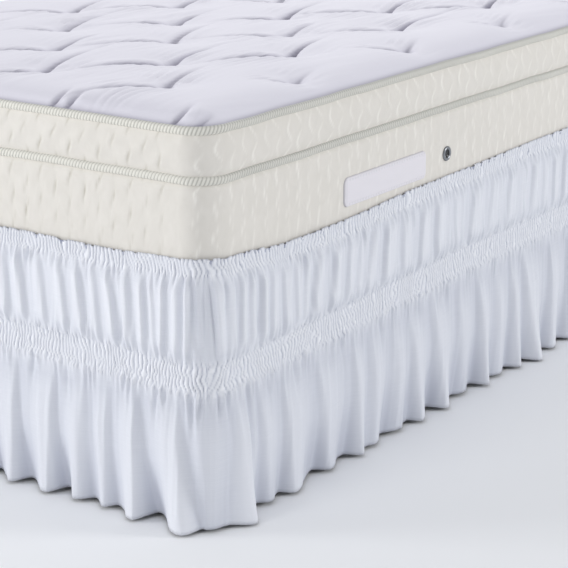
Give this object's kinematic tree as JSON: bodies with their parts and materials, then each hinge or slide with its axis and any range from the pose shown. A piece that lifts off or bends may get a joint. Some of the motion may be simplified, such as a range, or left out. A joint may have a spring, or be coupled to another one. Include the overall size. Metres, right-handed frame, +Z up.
{
  "type": "bed skirt on a mattress and bed base",
  "caption": "Wrap-around elastic bed skirt with gathered upper and lower tiers, hung round a single mattress on a footed base.",
  "frame": {"origin": "on the floor below the middle of the bed, the bottom centre of the whole part's box", "axes": "+Z up, +Y along the bed towards its head, +X across the bed; the shown corner is the foot corner at +X and -Y"},
  "size_m": [1.0507, 1.9606, 0.6121],
  "materials": {
    "skirt_cloth": "brushed microfibre, matt, fine slub weave",
    "mattress_ticking": "woven ticking with a soft tone-on-tone relief",
    "quilted_top": "tufted knit, matt",
    "binding_tape": "ribbed twill tape",
    "handle_cloth": "plain woven patch",
    "vent_metal": "satin pressed eyelet",
    "base_cloth": "plain matt cover",
    "foot_plastic": "matt moulded"
  },
  "bodies": {
    "root": {"skirt_foot": "skirt_cloth", "skirt_right": "skirt_cloth", "skirt_head": "skirt_cloth", "skirt_left": "skirt_cloth", "mattress_core": "mattress_ticking", "pillow_top": "quilted_top", "tape_lower": "binding_tape", "tape_upper": "binding_tape", "side_handle": "handle_cloth", "air_vent": "vent_metal", "bed_base": "base_cloth", "bed_foot_1": "foot_plastic", "bed_foot_2": "foot_plastic", "bed_foot_3": "foot_plastic", "bed_foot_4": "foot_plastic", "bed_foot_5": "foot_plastic", "bed_foot_6": "foot_plastic"}
  },
  "joints": []
}
